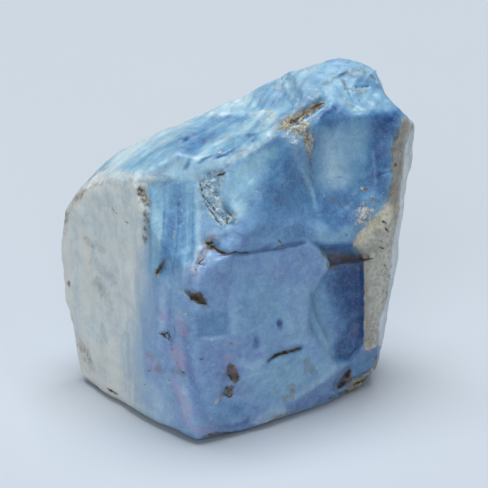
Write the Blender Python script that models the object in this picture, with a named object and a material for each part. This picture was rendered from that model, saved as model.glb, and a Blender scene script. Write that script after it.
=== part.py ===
"""A rough piece of common blue opal, broken on all sides, as one solid.

The stone is a block with flat fracture faces: a white rind on its left, a low front face with a
ledge above it, two steeper faces over the ledge, a sloping top with a valley in it, and a rim of
host rock on the right. Flakes are cut out of the block, its faces get their uneven relief, and the
larger cracks and pits are sunk into them.

The stone stands on the plane z = 0, with +X to its right, +Y to its back and +Z up. Working lengths
are in millimetres. The finished solid is in metres, with its width as STONE_WIDTH says.
"""

import math

import bmesh
import bpy
from mathutils import Vector, noise
from mathutils.bvhtree import BVHTree

# Real size of the stone, in metres
STONE_WIDTH = 0.0325

# How far the stone's middle lies behind its front corner, in millimetres
HALF_DEPTH = 11.6

# The view that the picture positions belong to: a frame of 488 pixels, seen from a little above
VIEW_ELEVATION = math.radians(23.0)
VIEW_DISTANCE = 246.5
VIEW_AIM = Vector((0.65, 0.0, 14.65))
FOCAL_PIXELS = 2711.0
FRAME_CENTRE = 244.0

# Working mesh and finished mesh
GRAIN = 0.24
ROUNDING_PASSES = 4
SOFTENING_PASSES = 2
TRIANGLES = 9000
BASE_TRIM = 0.12
SHARP_ANGLE = math.radians(32.0)

# Relief of the broken faces: height, waves for each millimetre, and place in the noise
RELIEF = (
    (0.34, 0.16, Vector((3.1, 7.7, 1.3))),
    (0.20, 0.42, Vector((9.2, 2.4, 5.8))),
    (0.09, 1.20, Vector((4.4, 8.1, 6.6))),
)
RELIEF_STARTS = 0.3
RELIEF_IS_FULL = 1.5


def sight(column, row):
    """The eye, and the direction in which it sees a place of the picture."""
    ahead = Vector((0.0, math.cos(VIEW_ELEVATION), -math.sin(VIEW_ELEVATION)))
    up = Vector((0.0, math.sin(VIEW_ELEVATION), math.cos(VIEW_ELEVATION)))
    right = Vector((1.0, 0.0, 0.0))
    eye = VIEW_AIM - VIEW_DISTANCE * ahead
    across = (column - FRAME_CENTRE) / FOCAL_PIXELS
    above = (FRAME_CENTRE - row) / FOCAL_PIXELS
    return eye, (ahead + across * right + above * up).normalized()


def seen(column, row, behind):
    """The point seen at a picture place that lies `behind` the stone's front corner."""
    eye, way = sight(column, row)
    return eye + way * ((behind - HALF_DEPTH - eye.y) / way.y)


def hidden(x, behind, z):
    """A point that the picture doesn't show, measured backwards from the front corner."""
    return Vector((x, behind - HALF_DEPTH, z))


BLOCK_CORNERS = {
    # white left face, down its far edge from the shoulder to the foot
    "left_shoulder": seen(60, 218, 15.8),
    "left_elbow": seen(61, 254, 15.8),
    "left_waist": seen(64, 296, 15.4),
    "left_shin": seen(72, 342, 14.6),
    "left_heel": seen(82, 380, 12.9),
    "left_foot": seen(105, 398, 9.8),
    "left_toe": seen(142, 417, 4.5),
    # top edge of the left face
    "rind_peak": seen(84, 189, 12.9),
    "rind_top": seen(112, 180, 8.9),
    "band_top": seen(150, 177, 3.3),
    # front corner, up from the foot
    "front_foot": seen(196, 441, 0.1),
    "front_shin": seen(197, 360, 0.0),
    "front_waist": seen(199, 250, 0.4),
    "front_top": seen(197, 180, 2.2),
    # front face below the ledge, and the ledge
    "front_hem_left": seen(236, 434, 1.6),
    "front_hem_middle": seen(284, 403, 4.5),
    "front_hem_low": seen(294, 417, 5.5),
    "front_hem_right": seen(333, 366, 7.3),
    "lip_left": seen(232, 228, 1.9),
    "lip_middle": seen(268, 238, 3.6),
    "lip_right": seen(306, 239, 5.7),
    # ridge between the two faces over the ledge
    "ridge_top": seen(309, 124, 9.2),
    "ridge_middle": seen(313, 181, 6.7),
    "ridge_foot": seen(317, 217, 5.7),
    # rim of host rock, inner and outer edge
    "rim_top": seen(402, 121, 13.2),
    "rim_neck": seen(389, 168, 11.3),
    "rim_wrist": seen(386, 192, 10.7),
    "rim_wedge": seen(353, 243, 8.3),
    "rim_outer_top": seen(412, 126, 14.6),
    "rim_outer_neck": seen(400, 165, 12.9),
    "rim_outer_wedge": seen(390, 226, 12.0),
    "rim_outer_waist": seen(386, 262, 11.7),
    "rim_outer_shin": seen(381, 310, 11.7),
    "rim_outer_foot": seen(378, 345, 12.0),
    "heel_right": seen(375, 369, 12.4),
    "foot_right": seen(363, 391, 11.4),
    # top: edge over the front faces, and the skyline from left to right
    "crest_left": seen(240, 156, 5.2),
    "crest_middle": seen(279, 130, 7.9),
    "brow": seen(337, 104, 12.4),
    "skyline_1": seen(97, 172, 15.5),
    "skyline_2": seen(123, 150, 16.8),
    "skyline_3": seen(147, 138, 17.4),
    "skyline_4": seen(185, 121, 17.8),
    "skyline_5": seen(230, 100, 18.2),
    "skyline_6": seen(260, 85, 17.8),
    "skyline_7": seen(293, 72, 17.6),
    "skyline_8": seen(323, 62, 17.8),
    "skyline_9": seen(343, 58, 17.8),
    "skyline_10": seen(364, 63, 17.6),
    "skyline_11": seen(377, 72, 17.0),
    # right outline, down from the shoulder
    "right_shoulder": seen(409, 114, 15.8),
    "right_corner": seen(416, 125, 15.6),
    "right_arm": seen(417, 138, 15.6),
    "right_elbow": seen(410, 167, 15.4),
    "right_waist": seen(400, 215, 15.6),
    "right_hip": seen(403, 262, 16.6),
    "right_thigh": seen(396, 290, 17.0),
    "right_shin": seen(383, 331, 16.0),
    # floor
    "floor_front": hidden(-3.8, 0.6, 0.0),
    "floor_hem": hidden(2.0, 3.6, 0.0),
    "floor_chamfer": hidden(7.9, 9.5, 0.0),
    "floor_right": hidden(10.6, 11.6, 0.0),
    "floor_right_back": hidden(10.4, 17.4, 0.0),
    "floor_back": hidden(2.0, 20.6, 0.0),
    "floor_left_back": hidden(-7.6, 17.6, 0.0),
    "floor_left": hidden(-11.4, 11.6, 0.0),
    "floor_left_front": hidden(-7.4, 4.6, 0.0),
    # back
    "back_low_left": hidden(-10.6, 20.2, 3.4),
    "back_low_middle": hidden(1.4, 23.0, 4.6),
    "back_low_right": hidden(10.4, 20.4, 3.6),
    "back_left": hidden(-12.2, 20.0, 11.0),
    "back_middle": hidden(-1.6, 23.2, 13.4),
    "back_right": hidden(12.4, 20.6, 13.0),
    "back_high_left": hidden(-9.8, 19.6, 19.0),
    "back_high_middle": hidden(2.6, 22.6, 22.8),
    "back_high_right": hidden(12.2, 19.8, 23.2),
}

# Valley in the top, between the near face and the hump at the back
VALLEY = (
    hidden(-11.0, 9.0, 26.5),
    hidden(-11.0, 18.0, 26.5),
    seen(197, 118, 17.6),
    seen(240, 113, 15.5),
    seen(268, 110, 13.8),
    seen(284, 111, 12.8),
    seen(300, 106, 13.0),
    seen(197, 178, 2.0),
    seen(240, 152, 5.0),
    seen(279, 126, 7.7),
    seen(230, 97, 18.4),
    seen(260, 82, 18.0),
    seen(290, 84, 17.0),
    hidden(-4.0, 8.0, 34.0),
    hidden(4.0, 12.0, 36.0),
    hidden(-4.0, 18.0, 34.0),
    hidden(4.0, 18.0, 36.0),
)

# Hollow right of the front face, from nothing at its lower left to full depth at the rim
HOLLOW = (
    seen(330, 263, 8.3),
    seen(310, 296, 6.7),
    seen(335, 362, 7.7),
    seen(364, 262, 9.9),
    seen(365, 345, 9.9),
    seen(350, 363, 8.8),
    seen(328, 260, 2.0),
    seen(308, 296, 2.0),
    seen(334, 364, 2.0),
    seen(366, 260, 2.0),
    seen(367, 346, 2.0),
    seen(350, 366, 2.0),
)

# Groove between the ledge and the hollow
GROOVE = (
    seen(328, 264, 8.9),
    seen(340, 258, 9.6),
    seen(356, 256, 10.6),
    seen(373, 259, 11.4),
    seen(313, 243, 7.0),
    seen(334, 246, 7.9),
    seen(353, 245, 9.0),
    seen(312, 241, 2.0),
    seen(353, 243, 2.0),
    seen(378, 257, 2.0),
    seen(329, 266, 2.0),
    seen(368, 268, 2.0),
)

# Shell-shaped scars: middle, the way the face looks, width and depth
SCARS = {
    "upper_scar": (seen(352, 160, 10.0), (0.45, -0.86, 0.25), 10.0, 0.75),
    "left_upper_scar": (seen(254, 192, 4.4), (-0.20, -0.83, 0.52), 9.0, 0.30),
    "right_scar": (hidden(15.3, 15.5, 18.0), (0.97, -0.06, -0.25), 11.0, 0.35),
    "shoulder_scar": (hidden(14.2, 16.5, 26.8), (0.78, 0.0, 0.62), 4.6, 0.30),
    "right_low_scar": (hidden(14.6, 18.0, 9.0), (0.95, 0.25, -0.18), 11.0, 0.80),
    "back_scar": (hidden(-4.0, 22.3, 17.0), (-0.20, 0.95, 0.25), 15.0, 1.10),
    "back_low_scar": (hidden(5.0, 23.2, 7.5), (0.15, 0.98, -0.10), 14.0, 1.20),
    "back_left_scar": (hidden(-12.6, 19.0, 8.0), (-0.75, 0.65, -0.05), 11.0, 0.90),
    "back_top_scar": (hidden(6.5, 21.6, 26.2), (0.10, 0.72, 0.68), 9.0, 0.80),
}

# Chips off the hidden sides: bearing from the front, height, width and depth
CHIPS = (
    (104, 5.0, 5.0, 0.5),
    (122, 20.5, 5.5, 0.6),
    (150, 5.0, 6.0, 0.7),
    (164, 22.0, 7.0, 0.8),
    (202, 11.0, 8.0, 0.8),
    (214, 20.5, 6.5, 0.7),
    (229, 4.0, 5.5, 0.6),
    (247, 15.0, 5.0, 0.5),
)
OUTSIDE = 60.0

# Cracks and pits: picture places along each, half its width, and its depth
CARVINGS = {
    "crevice": ([(281, 128), (293, 120), (304, 113), (315, 107), (324, 102)], 0.75, 1.2),
    "ledge_crack": ([(212, 245), (219, 255), (252, 252), (276, 248), (304, 243)], 0.45, 0.6),
    "olive_pit": ([(209, 244), (214, 246)], 0.70, 0.7),
    "edge_pit": ([(193, 297), (203, 298)], 0.80, 1.0),
    "front_crack": ([(270, 360), (283, 353), (301, 348)], 0.42, 0.6),
    "brown_pits": ([(229, 378), (237, 377), (233, 369)], 0.70, 0.6),
    "lower_pit": ([(226, 393), (231, 389)], 0.65, 0.5),
    "foot_pit": ([(348, 371), (347, 379), (340, 383)], 0.90, 1.0),
    "foot_notch": ([(352, 383), (361, 379), (369, 374)], 0.70, 0.9),
    "band_pit": ([(161, 333), (170, 329), (170, 338)], 0.60, 0.5),
    "rind_pits": ([(142, 188), (143, 198), (147, 208)], 0.60, 0.5),
    "band_crack": ([(163, 262), (157, 273)], 0.45, 0.5),
}
CARVING_WAVER = 0.5
CARVING_WAVES = 1.1


def mesh_object(name, bm):
    """A new object in the scene that holds the finished bmesh."""
    mesh = bpy.data.meshes.new(name)
    bm.to_mesh(mesh)
    bm.free()
    obj = bpy.data.objects.new(name, mesh)
    bpy.context.scene.collection.objects.link(obj)
    return obj


def hull(name, points):
    """The convex solid around these points."""
    bm = bmesh.new()
    for point in points:
        bm.verts.new(point)
    made = bmesh.ops.convex_hull(bm, input=bm.verts)
    loose = set(made["geom_interior"]) | set(made["geom_unused"])
    inside = [item for item in loose if isinstance(item, bmesh.types.BMVert)]
    bmesh.ops.delete(bm, geom=inside, context="VERTS")
    bmesh.ops.recalc_face_normals(bm, faces=bm.faces)
    return mesh_object(name, bm)


def scar(name, middle, facing, width, depth):
    """A round cutter that leaves a shell-shaped scar, this wide and deep, in a face."""
    radius = (width * width / 4 + depth * depth) / (2 * depth)
    centre = middle + Vector(facing).normalized() * (radius - depth)
    bm = bmesh.new()
    bmesh.ops.create_icosphere(bm, subdivisions=6, radius=radius)
    bmesh.ops.translate(bm, vec=centre, verts=bm.verts)
    return mesh_object(name, bm)


def chip(name, surface, bearing, height, width, depth):
    """A scar where a level line from outside, at this bearing from the front, meets the block."""
    turn = math.radians(bearing)
    outward = Vector((math.sin(turn), -math.cos(turn), 0.0))
    start = outward * OUTSIDE + Vector((0.0, 0.0, height))
    met, facing = surface.ray_cast(start, -outward)[:2]
    return scar(name, met, facing + outward, width, depth)


def make_cutters(block):
    """What has broken off the block."""
    bm = bmesh.new()
    bm.from_mesh(block.data)
    surface = BVHTree.FromBMesh(bm)
    bm.free()
    cutters = [hull("valley", VALLEY), hull("hollow", HOLLOW), hull("groove", GROOVE)]
    cutters += [scar(name, *measures) for name, measures in SCARS.items()]
    cutters += [chip(f"chip_{i}", surface, *measures) for i, measures in enumerate(CHIPS)]
    return cutters


def as_guide(obj):
    obj.hide_render = True
    obj.display_type = "WIRE"


def evaluated(obj, name):
    """The object's mesh with its modifiers applied."""
    graph = bpy.context.evaluated_depsgraph_get()
    graph.update()
    mesh = bpy.data.meshes.new_from_object(obj.evaluated_get(graph))
    mesh.name = name
    return mesh


def broken(block, cutters):
    """The block less what has broken off, as an even fine mesh with slightly worn edges."""
    for cutter in cutters:
        cut = block.modifiers.new(cutter.name, "BOOLEAN")
        cut.operation = "DIFFERENCE"
        cut.object = cutter
    grain = block.modifiers.new("grain", "REMESH")
    grain.mode = "VOXEL"
    grain.voxel_size = GRAIN
    worn = block.modifiers.new("worn edges", "SMOOTH")
    worn.factor = 0.5
    worn.iterations = ROUNDING_PASSES
    bm = bmesh.new()
    bm.from_mesh(evaluated(block, "broken"))
    return bm


def add_relief(bm):
    """Makes the broken faces uneven, and leaves the foot of the stone as it is."""
    bm.normal_update()
    moves = []
    for vertex in bm.verts:
        height = sum(tall * noise.noise(vertex.co * waves + place) for tall, waves, place in RELIEF)
        share = (vertex.co.z - RELIEF_STARTS) / (RELIEF_IS_FULL - RELIEF_STARTS)
        moves.append(vertex.normal * height * min(1.0, max(0.0, share)))
    for vertex, move in zip(bm.verts, moves):
        vertex.co += move


def distance_to_line(point, line):
    """The shortest way from a point to a line through several points."""
    best = math.inf
    for start, end in zip(line, line[1:]):
        along = end - start
        share = min(1.0, max(0.0, (point - start).dot(along) / along.length_squared))
        best = min(best, (start + along * share - point).length)
    return best


def carve(bm):
    """Sinks the cracks and pits into the faces that the picture shows them on."""
    surface = BVHTree.FromBMesh(bm)
    for places, half_width, depth in CARVINGS.values():
        line = [surface.ray_cast(*sight(*place))[0] for place in places]
        bm.normal_update()
        for vertex in bm.verts:
            away = distance_to_line(vertex.co, line)
            waver = 1.0 + CARVING_WAVER * noise.noise(vertex.co * CARVING_WAVES)
            reach = half_width * waver
            if away < reach:
                vertex.co -= vertex.normal * depth * (1.0 - away / reach)


def coarsened(bm):
    """The carved stone at its final count of triangles."""
    rough = mesh_object("rough", bm)
    soft = rough.modifiers.new("softer carvings", "SMOOTH")
    soft.factor = 0.5
    soft.iterations = SOFTENING_PASSES
    thin = rough.modifiers.new("fewer triangles", "DECIMATE")
    thin.ratio = TRIANGLES / sum(len(face.vertices) - 2 for face in rough.data.polygons)
    bm = bmesh.new()
    bm.from_mesh(evaluated(rough, "coarsened"))
    bpy.data.objects.remove(rough)
    return bm


def stand(bm):
    """Cuts the stone flat to stand, and puts the middle of its box over the origin, in metres."""
    base = min(vertex.co.z for vertex in bm.verts) + BASE_TRIM
    everything = bm.verts[:] + bm.edges[:] + bm.faces[:]
    cut = bmesh.ops.bisect_plane(
        bm, geom=everything, plane_co=(0, 0, base), plane_no=(0, 0, -1), clear_outer=True
    )
    rim = [item for item in cut["geom_cut"] if isinstance(item, bmesh.types.BMEdge)]
    bmesh.ops.edgeloop_fill(bm, edges=rim)
    bmesh.ops.triangulate(bm, faces=bm.faces)
    bmesh.ops.recalc_face_normals(bm, faces=bm.faces)
    low = Vector([min(vertex.co[axis] for vertex in bm.verts) for axis in range(3)])
    high = Vector([max(vertex.co[axis] for vertex in bm.verts) for axis in range(3)])
    foot = Vector(((low.x + high.x) / 2, (low.y + high.y) / 2, low.z))
    metres = STONE_WIDTH / (high.x - low.x)
    bmesh.ops.translate(bm, vec=-foot, verts=bm.verts)
    bmesh.ops.scale(bm, vec=(metres, metres, metres), verts=bm.verts)


def opal_material():
    material = bpy.data.materials.new("blue opal")
    material.use_nodes = True
    surface = material.node_tree.nodes["Principled BSDF"]
    surface.inputs["Base Color"].default_value = (0.17, 0.29, 0.48, 1.0)
    surface.inputs["Roughness"].default_value = 0.45
    surface.inputs["Metallic"].default_value = 0.0
    return material


def main():
    for obj in list(bpy.data.objects):
        bpy.data.objects.remove(obj)
    block = hull("block", BLOCK_CORNERS.values())
    cutters = make_cutters(block)
    for guide in (block, *cutters):
        as_guide(guide)
    bm = broken(block, cutters)
    add_relief(bm)
    carve(bm)
    bm = coarsened(bm)
    stand(bm)
    opal = mesh_object("opal", bm)
    opal.data.materials.append(opal_material())
    opal.data.shade_smooth()
    opal.data.set_sharp_from_angle(angle=SHARP_ANGLE)


main()
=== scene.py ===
"""The rough blue opal dressed for its picture.

The CAD solid is copied, refined and given its fine relief: streaks, crushed zones, grain, cracks,
pits and shell-shaped scars. Marks and smudges that the photograph shows are placed by their position
in its 488-pixel frame, worked out on the stone's surface from the camera, and stored on the mesh as
fields that the material reads. The sides that the photograph doesn't show follow rules in three
dimensions. Outlines and lines are in pixels of that frame. Other lengths are in millimetres where a
name or comment says so, and in metres elsewhere.
"""

import math

import bpy
import numpy as np
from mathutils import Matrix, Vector


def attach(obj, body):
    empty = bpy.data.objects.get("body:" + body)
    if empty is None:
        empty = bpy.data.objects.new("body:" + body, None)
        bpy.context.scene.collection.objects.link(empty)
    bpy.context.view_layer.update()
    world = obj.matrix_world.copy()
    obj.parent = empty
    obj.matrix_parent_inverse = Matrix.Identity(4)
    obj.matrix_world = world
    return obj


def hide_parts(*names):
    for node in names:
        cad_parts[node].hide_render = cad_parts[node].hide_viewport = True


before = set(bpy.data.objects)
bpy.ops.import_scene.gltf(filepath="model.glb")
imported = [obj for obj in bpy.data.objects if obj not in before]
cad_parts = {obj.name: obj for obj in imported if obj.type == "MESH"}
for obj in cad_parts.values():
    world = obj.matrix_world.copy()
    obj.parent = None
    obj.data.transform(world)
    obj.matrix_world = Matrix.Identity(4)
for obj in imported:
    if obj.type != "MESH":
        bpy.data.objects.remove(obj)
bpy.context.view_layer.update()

MM = 0.001

# The photograph's view: a frame of 488 pixels, from 23 degrees above the floor
VIEW_ELEVATION = math.radians(23.0)
VIEW_DISTANCE = 246.3 * MM
VIEW_AIM = Vector((0.70, 0.10, 14.63)) * MM
SENSOR = 36.0
LENS = 200.0
FRAME_PIXELS = 488
FOCAL_PIXELS = LENS / SENSOR * FRAME_PIXELS
AHEAD = Vector((0.0, math.cos(VIEW_ELEVATION), -math.sin(VIEW_ELEVATION)))
UP = Vector((0.0, math.sin(VIEW_ELEVATION), math.cos(VIEW_ELEVATION)))
EYE = VIEW_AIM - AHEAD * VIEW_DISTANCE

# Mesh: size of its faces, share of them kept on the unseen sides, and passes that round the facets off
GRAIN = 0.160 * MM
KEPT_SHARE = 0.64
ROUNDING_PASSES = 7

# Layers of the stone: the white rind lies along one plane, the grey-white skin along another
RIND_FACING = Vector((-0.85, -0.525, 0.0))
RIND_PLACE = Vector((-8.1, -8.3, 14.0)) * MM
SKIN_FACING = Vector((0.955, 0.22, -0.20)).normalized()
SKIN_PLACE = Vector((14.6, 4.0, 17.0)) * MM
STREAK_WAY = (0.51, 0.86)

# Outlines of the stone's parts in the photograph, as columns and rows of its frame
TOP = [
    (58, 218), (78, 190), (103, 170), (123, 148), (147, 134), (186, 116), (230, 96), (260, 80), (293, 66),
    (324, 58), (322, 88), (310, 97), (295, 108), (281, 118), (279, 130), (262, 143), (247, 152),
    (236, 158), (224, 167), (213, 170), (197, 180), (150, 177), (112, 179), (90, 187), (76, 199),
    (68, 212),
]
WHITE_FACE = [
    (44, 226), (62, 206), (78, 196), (90, 188), (112, 182), (160, 180), (163, 240), (166, 300),
    (164, 350), (172, 400), (182, 440), (196, 456), (142, 436), (98, 412), (62, 370), (46, 280),
]
WHITE_CREST = [
    (54, 224), (70, 200), (84, 184), (98, 172), (112, 168), (128, 171), (150, 174), (158, 179),
    (148, 184), (112, 186), (90, 192), (70, 208),
]
WHITE_BORDER = [(148, 176), (149, 240), (148, 300), (142, 350), (146, 400), (160, 436)]
HEM = [
    (84, 382), (110, 398), (142, 417), (165, 430), (192, 441), (209, 439), (234, 436), (260, 426),
    (294, 417), (326, 400), (344, 393), (360, 393),
]
CRUSHED = [
    (197, 179), (206, 171), (224, 168), (228, 176), (224, 186), (223, 193), (227, 204), (237, 213),
    (241, 221), (236, 227), (226, 230), (214, 223), (204, 211), (201, 197), (197, 186),
]
CRUSHED_LOW = [
    (213, 229), (223, 233), (218, 244), (208, 260), (198, 274), (189, 270), (196, 255), (205, 243),
]
CRUSHED_HOLLOW = [(277, 133), (283, 120), (300, 113), (309, 116), (306, 128), (298, 140), (288, 138)]
CRUSHED_RIDGE = [(197, 180), (213, 171), (224, 167), (236, 158), (247, 152), (262, 143), (280, 131)]
RIM = [
    (402, 118), (399, 135), (394, 146), (390, 164), (388, 177), (386, 190), (384, 199), (373, 217),
    (362, 230), (352, 242), (356, 250), (364, 258), (364, 300), (364, 345), (367, 351), (379, 345),
    (380, 313), (383, 287), (384, 261), (386, 245), (390, 226), (394, 208), (395, 190), (398, 172),
    (402, 160), (405, 146), (413, 128), (412, 116),
]
WEDGE = [(352, 243), (362, 230), (373, 217), (385, 200), (395, 200), (392, 224), (386, 247), (366, 256)]
# The wedge's paler upper part: partly its own paler tan, partly painted light for a facet that faces up
WEDGE_PALE_AND_LIT = [
    (354, 244), (362, 232), (373, 219), (385, 204), (394, 203), (392, 210), (378, 228), (366, 241),
    (358, 248),
]
SKIN = [
    (412, 116), (413, 128), (405, 146), (402, 160), (398, 172), (395, 190), (394, 208), (390, 226),
    (386, 245), (384, 261), (383, 287), (380, 313), (379, 345), (390, 350), (402, 300), (412, 262),
    (412, 210), (420, 165), (426, 130),
]
FOOT_BLOCK = [(351, 387), (362, 382), (373, 377), (372, 389), (359, 396), (350, 396)]
FOOT_RIDGE = [
    (353, 380), (362, 376), (372, 369), (378, 365), (378, 374), (372, 378), (360, 384), (351, 389),
]
CREVICE = [
    (278, 130), (283, 119), (300, 112), (322, 101), (326, 107), (312, 117), (307, 126), (313, 136),
    (311, 158), (306, 150), (303, 135), (292, 132),
]
CREASE = [(279, 77), (287, 73), (297, 84), (304, 100), (299, 108), (290, 105), (284, 92)]
SPECKLED = [(355, 206), (368, 200), (378, 206), (374, 222), (360, 230), (352, 222)]

# Pits and stains with an outline of their own, and how strong their brown is
PITS = [
    ([(184, 289), (188, 292), (194, 293), (200, 291), (204, 294), (207, 305), (198, 304),
     (191, 300)], 0.9),
    ([(229, 362), (235, 366), (238, 373), (239, 381), (234, 384), (229, 380), (228, 374),
     (226, 369)], 0.8),
    ([(328, 255), (340, 253), (354, 255), (371, 257), (368, 261), (352, 262), (342, 265), (334, 270),
     (329, 267)], 0.42),
    ([(350, 366), (353, 374), (353, 381), (345, 387), (337, 390), (335, 386), (342, 377),
     (346, 370)], 0.6),
    ([(204, 242), (211, 241), (216, 247), (222, 252), (214, 251), (207, 248)], 0.35),
    ([(327, 256), (332, 256), (334, 262), (331, 271), (327, 268)], 0.55),
]

# Faces that have both a colour and a dish of their own
UPPER_LEFT = [
    (232, 230), (222, 198), (231, 184), (229, 170), (247, 154), (280, 132), (293, 150), (304, 174),
    (313, 195), (316, 214), (306, 238), (264, 239),
]
UPPER_RIGHT = [
    (311, 126), (325, 113), (337, 104), (353, 114), (381, 111), (401, 113), (398, 135), (389, 164),
    (385, 190), (371, 217), (350, 241), (318, 217), (314, 195), (305, 174), (308, 157),
]
STRIP = [(213, 248), (217, 236), (232, 229), (264, 240), (306, 240), (288, 244), (264, 250)]
RECESS = [
    (330, 266), (364, 262), (364, 345), (350, 361), (336, 366), (316, 342), (306, 322), (309, 298),
    (311, 291), (322, 276),
]
RECESS_LOW = [(351, 318), (364, 314), (364, 345), (350, 361), (335, 358), (335, 345), (343, 331)]
PLATE_SHELF = [(193, 312), (226, 311), (231, 336), (196, 338)]

# Soft areas of the blue: outline, softness in pixels, tone from white to navy, share of lavender
BLUE_AREAS = {
    "top": (TOP, 3, 0.5, 0.05),
    "top_left": ([(80, 188), (103, 168), (147, 132), (196, 112), (186, 142), (158, 172),
        (148, 180)], 12, 0.4, 0),
    "top_skyline": ([(100, 172), (124, 148), (147, 136), (190, 118), (200, 122), (150, 144),
        (116, 172)], 5, 0.2, 0.1),
    "top_ridge": ([(150, 177), (197, 180), (224, 166), (280, 129), (250, 120), (190, 150)], 12, 0.36, 0),
    "back_piece": ([(186, 116), (240, 113), (283, 111), (306, 98), (337, 77), (324, 56),
        (230, 94)], 3, 0.42, 0.1),
    "back_piece_dark": ([(262, 104), (300, 84), (322, 68), (324, 84), (302, 98),
        (272, 112)], 6, 0.6, 0.05),
    "back_piece_pale": ([(250, 114), (276, 112), (276, 122), (252, 124)], 4, 0.24, 0),
    "back_piece_left": ([(206, 110), (222, 100), (250, 92), (256, 104), (226, 111)], 6, 0.22, 0),
    "top_dark": ([(176, 138), (196, 124), (212, 132), (196, 154), (180, 154)], 9, 0.64, 0.05),
    "knob": ([(310, 98), (337, 77), (337, 54), (368, 60), (386, 78), (400, 100), (402, 112), (381, 110),
        (353, 113), (337, 103), (324, 104)], 3, 0.47, 0.05),
    "stripes": ([(148, 178), (197, 181), (199, 232), (201, 262), (160, 300), (148, 300)], 2, 0.54, 0),
    "low_left": ([(148, 290), (170, 272), (205, 265), (206, 330), (204, 446), (160, 432), (146, 392),
        (142, 350)], 9, 0.52, 0.7),
    "low_left_pale": ([(144, 380), (160, 384), (176, 424), (166, 434), (150, 424)], 9, 0.32, 0.6),
    "crushed": (CRUSHED, 3, 0.42, 0.1),
    "crushed_low": (CRUSHED_LOW, 4, 0.4, 0.35),
    "upper_left": (UPPER_LEFT, 4, 0.68, 0.05),
    # Painted light: the lit left part of the upper left face
    "upper_left_lit": ([(224, 196), (236, 166), (262, 146), (276, 150), (262, 176),
        (240, 208)], 10, 0.39, 0),
    "ribbon_side": ([(233, 196), (246, 203), (250, 224), (241, 230), (232, 216)], 6, 0.29, 0.1),
    # Painted shade: the darker part of the upper left face near its ridge
    "upper_left_shade": ([(270, 168), (300, 150), (312, 192), (317, 216), (276, 222)], 11, 0.76, 0.05),
    "upper_left_low": ([(236, 222), (280, 208), (318, 210), (310, 240), (240, 236)], 8, 0.66, 0.3),
    "upper_right": (UPPER_RIGHT, 3, 0.66, 0),
    # Painted highlight: the soft lit middle of the upper right scoop
    "upper_right_highlight": ([(334, 128), (352, 122), (366, 134), (364, 158), (348, 168),
        (334, 158)], 11, 0.45, 0.15),
    "upper_right_pale": ([(321, 134), (335, 136), (342, 160), (352, 178), (350, 194), (331, 196),
        (321, 176)], 12, 0.29, 0.35),
    "upper_right_navy": ([(371, 113), (400, 110), (393, 136), (385, 166), (382, 194), (368, 190),
        (370, 148)], 7, 0.88, 0),
    # Painted shade: the scoop's downward-facing top
    "upper_right_top_shade": ([(313, 122), (334, 107), (348, 116), (330, 128)], 6, 0.82, 0),
    "upper_right_low": ([(318, 194), (350, 188), (374, 198), (354, 238), (320, 218)], 9, 0.75, 0.2),
    "pale_patch": ([(337, 234), (346, 226), (360, 227), (352, 242), (342, 241)], 3, 0.52, 0.1),
    "strip": (STRIP, 3, 0.62, 0.5),
    "plate": ([(202, 268), (213, 252), (264, 251), (306, 240), (319, 250), (327, 258), (329, 263),
        (322, 275), (310, 292), (309, 300), (316, 340), (336, 367), (302, 393), (283, 403), (251, 418),
        (217, 424), (202, 430), (200, 330)], 4, 0.57, 0.7),
    "plate_right": ([(286, 246), (316, 250), (326, 263), (308, 292), (288, 292)], 9, 0.58, 0.75),
    "plate_blue": (PLATE_SHELF, 5, 0.67, 0.4),
    "plate_pale": ([(236, 272), (290, 286), (296, 320), (250, 332), (236, 310)], 14, 0.54, 0.35),
    "plate_light_1": ([(286, 290), (306, 286), (309, 346), (288, 352)], 9, 0.45, 0.5),
    "plate_light_2": ([(242, 362), (268, 358), (268, 380), (246, 384)], 9, 0.42, 0.4),
    "plate_low": ([(268, 356), (310, 350), (334, 366), (284, 400), (252, 400)], 9, 0.46, 0.25),
    "plate_low_left": ([(204, 400), (222, 402), (246, 404), (250, 416), (217, 424)], 6, 0.54, 0.3),
    "chamfer": ([(200, 440), (204, 430), (217, 425), (251, 419), (283, 404), (302, 395), (322, 381),
        (336, 369), (347, 362), (352, 376), (326, 406), (300, 424), (274, 432),
        (246, 440)], 2.5, 0.6, 0.75),
    "chamfer_light": ([(250, 422), (264, 413), (284, 406), (292, 413), (262, 427)], 3, 0.28, 0.6),
    "recess": (RECESS, 4, 0.73, 0.2),
    "recess_pale": ([(312, 296), (322, 286), (330, 300), (334, 330), (338, 352), (324, 356),
        (312, 336)], 10, 0.53, 0.3),
    "recess_foot": ([(318, 340), (332, 340), (338, 362), (326, 360)], 7, 0.46, 0.3),
    # Painted shade deepening the recess's own darker blue, on this line and the next
    "recess_dark_and_shade": ([(338, 262), (366, 258), (366, 318), (346, 314), (334, 290)], 15, 1.06, 0),
    "recess_low": (RECESS_LOW, 5, 0.92, 0),
    # Painted shade: the groove's inner face, which lies in shadow
    "groove_shade": ([(310, 241), (352, 243), (352, 256), (329, 258), (320, 249)], 3, 0.88, 0.1),
    "low_right": ([(348, 361), (365, 347), (379, 347), (377, 360), (373, 374), (352, 376)], 4, 0.7, 0.2),
}

# Thin white over the blue: outline, softness in pixels, and share of white
FAINT_WHITES = [(WHITE_CREST, 6, 0.52), (BLUE_AREAS["top_skyline"][0], 4, 0.27), (TOP, 4, 0.12)]

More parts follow.
